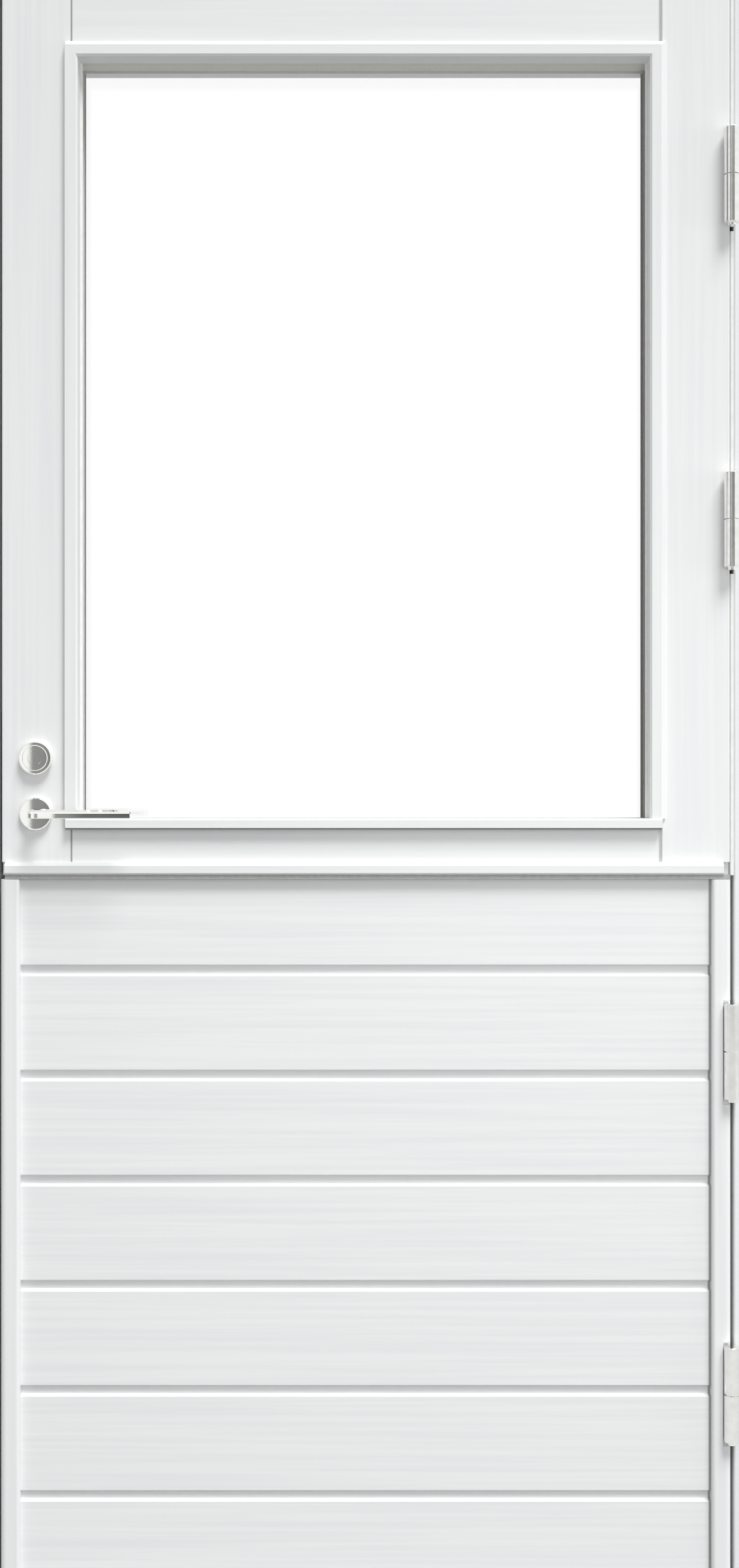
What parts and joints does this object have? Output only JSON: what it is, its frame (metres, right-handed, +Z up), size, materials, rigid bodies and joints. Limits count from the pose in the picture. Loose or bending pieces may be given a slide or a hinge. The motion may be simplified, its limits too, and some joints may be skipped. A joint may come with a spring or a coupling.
{
  "type": "exterior door",
  "caption": "Outward opening stable door: glazed upper leaf and boarded lower leaf, hinged one above the other in a rebated frame, with lever handle.",
  "frame": {"origin": "under the middle of the threshold, in the plane of the outer face of the frame", "axes": "+X to the right seen from outdoors, towards the hinges; +Y into the building; +Z up"},
  "size_m": [0.99, 0.187, 2.09],
  "materials": {
    "painted_timber": "white opaque paint on timber, satin",
    "painted_board": "white opaque paint on cladding boards, a little wood grain shows",
    "oiled_hardwood": "oiled hardwood",
    "anodised_aluminium": "natural anodised",
    "seal_rubber": "matt grey",
    "white_rubber": "white, satin",
    "window_glass": "clear float glass",
    "spacer_plastic": "grey warm edge",
    "zinc_plated_steel": "zinc plated",
    "satin_steel": "satin stainless steel"
  },
  "bodies": {
    "frame": {"hinge_jamb": "painted_timber", "latch_jamb": "painted_timber", "frame_head": "painted_timber", "threshold": "oiled_hardwood", "threshold_nosing": "anodised_aluminium", "frame_seal": "seal_rubber", "hinge_gap_seal": "white_rubber", "strike_plate": "zinc_plated_steel", "frame_hinge_1": "zinc_plated_steel", "frame_hinge_2": "zinc_plated_steel", "frame_hinge_3": "zinc_plated_steel", "frame_hinge_4": "zinc_plated_steel"},
    "upper_leaf": {"upper_hinge_stile": "painted_timber", "upper_latch_stile": "painted_timber", "upper_top_rail": "painted_timber", "upper_bottom_rail": "painted_timber", "outer_pane": "window_glass", "inner_pane": "window_glass", "glazing_spacer": "spacer_plastic", "surround_top": "painted_timber", "surround_hinge_side": "painted_timber", "surround_latch_side": "painted_timber", "window_sill": "painted_timber", "inner_beads": "painted_timber", "drip_rail": "painted_timber", "strip_seal": "white_rubber", "meeting_seal": "seal_rubber", "leaf_hinge_1": "zinc_plated_steel", "leaf_hinge_2": "zinc_plated_steel", "lock_faceplate": "zinc_plated_steel", "cylinder_ring": "satin_steel", "lock_cylinder": "satin_steel", "outer_rose": "satin_steel", "inner_rose": "satin_steel", "thumb_turn": "satin_steel"},
    "lower_leaf": {"lower_hinge_stile": "painted_timber", "lower_latch_stile": "painted_timber", "lower_top_rail": "painted_timber", "lower_bottom_rail": "painted_timber", "board_1": "painted_board", "board_2": "painted_board", "board_3": "painted_board", "board_4": "painted_board", "board_5": "painted_board", "board_6": "painted_board", "board_7": "painted_board", "hinge_batten": "painted_board", "latch_batten": "painted_board", "lower_inner_panel": "painted_timber", "leaf_hinge_3": "zinc_plated_steel", "leaf_hinge_4": "zinc_plated_steel"},
    "lever": {"outer_lever": "satin_steel", "inner_lever": "satin_steel", "lever_spindle": "satin_steel"}
  },
  "joints": [
    {"name": "upper_leaf_hinge", "type": "hinge", "parent": "frame", "child": "upper_leaf", "pos_m": [0.4644, -0.012, 1.486], "axis": [0, 0, 1], "range_deg": [0, 110]},
    {"name": "lower_leaf_hinge", "type": "hinge", "parent": "frame", "child": "lower_leaf", "pos_m": [0.4644, -0.012, 0.463], "axis": [0, 0, 1], "range_deg": [0, 110]},
    {"name": "lever_turn", "type": "hinge", "parent": "upper_leaf", "child": "lever", "pos_m": [-0.42, 0, 0.9912], "axis": [0, 1, 0], "range_deg": [0, 35], "stiffness_Nm_per_rad": 1.5}
  ]
}
